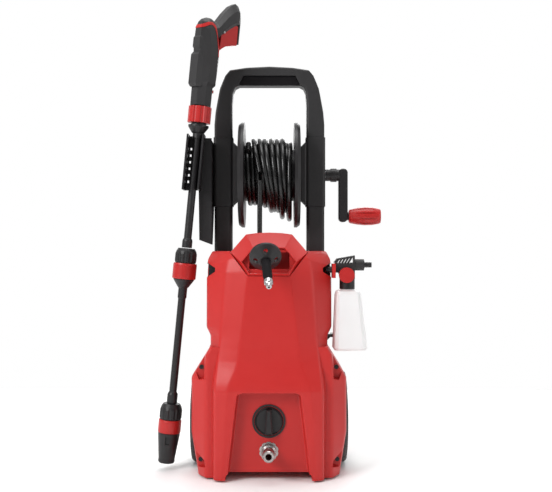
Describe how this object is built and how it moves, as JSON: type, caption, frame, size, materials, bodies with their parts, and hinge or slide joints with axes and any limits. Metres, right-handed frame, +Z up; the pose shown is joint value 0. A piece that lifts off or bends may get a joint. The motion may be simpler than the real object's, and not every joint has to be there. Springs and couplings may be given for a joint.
{
  "type": "pressure washer",
  "caption": "Upright wheeled electric pressure washer with a U-shaped handle, cranked hose reel, spray gun with lance in a side holder, and a foam bottle on the shoulder.",
  "frame": {"origin": "on the floor, on the casing's mirror plane, below the middle of the casing's depth", "axes": "+Z up, -Y towards the front panel with the switch, +X towards the crank"},
  "size_m": [0.4817, 0.4079, 1],
  "materials": {
    "red_shell": "satin moulded red plastic",
    "black_frame": "fine-grained black moulded plastic",
    "black_soft": "soft grip",
    "black_plastic": "black moulded plastic",
    "grey_plastic": "dark grey moulded plastic",
    "red_trim": "red plastic trim",
    "tyre": "dark grey wheel tread",
    "hub": "pale wheel disc",
    "hose": "black high-pressure hose",
    "chrome": "plated fitting",
    "nickel": "dull nickel fitting",
    "steel": "steel bar",
    "black_screw": "blackened screws",
    "motor_paint": "painted motor case",
    "cast_alloy": "cast alloy pump",
    "clear_bottle": "translucent white bottle"
  },
  "bodies": {
    "machine": {"front_casing": "red_shell", "rear_casing": "red_shell", "hose_guide_cover": "red_shell", "base_tray": "black_plastic", "foot_pads": "black_soft", "casing_screws": "black_screw", "lower_posts": "black_frame", "bracket_right": "black_frame", "bracket_left": "black_frame", "handle_bow": "black_frame", "handle_grip": "black_soft", "lance_holder": "black_plastic", "wheel_axle": "steel", "hose_lead": "hose", "hose_stopper": "black_plastic", "hose_sleeve": "black_soft", "hose_nipple": "chrome", "motor_housing": "motor_paint", "pump_head": "cast_alloy", "inlet_union": "nickel", "outlet_pipe": "hose", "switch_box": "black_plastic", "switch_bezel": "black_plastic", "cable_gland": "black_soft", "foam_bracket": "red_shell"},
    "wheel_right": {"tyre_right": "tyre", "wheel_rim_right": "grey_plastic", "hub_cap_right": "hub"},
    "wheel_left": {"tyre_left": "tyre", "wheel_rim_left": "grey_plastic", "hub_cap_left": "hub"},
    "reel": {"reel_flange_right": "black_plastic", "reel_flange_left": "black_plastic", "reel_drum": "black_plastic", "reel_axle": "steel", "hose_coil": "hose", "crank_arm": "black_plastic"},
    "crank_handle": {"crank_knob": "red_trim"},
    "rotor": {"motor_rotor": "steel"},
    "switch": {"switch_knob": "black_plastic"},
    "hook": {"cable_hook": "black_plastic"},
    "foam": {"foam_head": "grey_plastic", "foam_barrel": "grey_plastic", "foam_cap": "black_plastic", "foam_bottle": "clear_bottle", "foam_tube": "grey_plastic"},
    "foam_dial": {"foam_knob": "red_trim"},
    "lance": {"gun_shell": "grey_plastic", "gun_pin": "steel", "gun_trim": "red_trim", "lance_nut": "red_trim", "lance_cone": "black_plastic", "lance_tube_upper": "black_plastic", "lance_mid_nut": "black_plastic", "lance_mid_ring": "red_trim", "lance_tube_lower": "black_plastic", "nozzle_nut": "black_plastic", "nozzle_ring": "red_trim"},
    "trigger": {"gun_trigger": "red_trim"},
    "nozzle": {"nozzle_body": "black_plastic"}
  },
  "joints": [
    {"name": "wheel_right_spin", "type": "hinge", "parent": "machine", "child": "wheel_right", "pos_m": [0.15, 0.045, 0.1], "axis": [1, 0, 0], "continuous": true},
    {"name": "wheel_left_spin", "type": "hinge", "parent": "machine", "child": "wheel_left", "pos_m": [-0.15, 0.045, 0.1], "axis": [1, 0, 0], "continuous": true},
    {"name": "reel_spin", "type": "hinge", "parent": "machine", "child": "reel", "pos_m": [0, 0.06, 0.63], "axis": [1, 0, 0], "continuous": true},
    {"name": "crank_handle_spin", "type": "hinge", "parent": "reel", "child": "crank_handle", "pos_m": [0.2, 0.06, 0.539], "axis": [1, 0, 0], "continuous": true},
    {"name": "rotor_spin", "type": "hinge", "parent": "machine", "child": "rotor", "pos_m": [0, -0.012, 0.24], "axis": [0, 0, 1], "continuous": true},
    {"name": "switch_turn", "type": "hinge", "parent": "machine", "child": "switch", "pos_m": [0, -0.114, 0.119], "axis": [0, -1, 0], "range_deg": [-90, 0]},
    {"name": "hook_swivel", "type": "hinge", "parent": "machine", "child": "hook", "pos_m": [0.084, 0.122, 0.268], "axis": [0, 1, 0], "range_deg": [-90, 180]},
    {"name": "foam_pull_off", "type": "slide", "parent": "machine", "child": "foam", "axis": [1, 0, 0], "range_m": [0, 0.06]},
    {"name": "foam_dial_turn", "type": "hinge", "parent": "foam", "child": "foam_dial", "pos_m": [0.16, -0.0745, 0.413], "axis": [0, -1, 0], "range_deg": [0, 270]},
    {"name": "lance_lift_off", "type": "slide", "parent": "machine", "child": "lance", "axis": [0.0958, 0, 0.9954], "range_m": [0, 0.1]},
    {"name": "trigger_squeeze", "type": "hinge", "parent": "lance", "child": "trigger", "pos_m": [-0.10676, -0.00242, 0.93102], "axis": [0.7625, -0.6428, -0.0734], "range_deg": [0, 11], "stiffness_Nm_per_rad": 0.8, "springref_deg": -8.59},
    {"name": "nozzle_twist", "type": "hinge", "parent": "lance", "child": "nozzle", "pos_m": [-0.21471, -0.03, 0.05131], "axis": [0.0958, 0, 0.9954], "range_deg": [0, 90]}
  ]
}
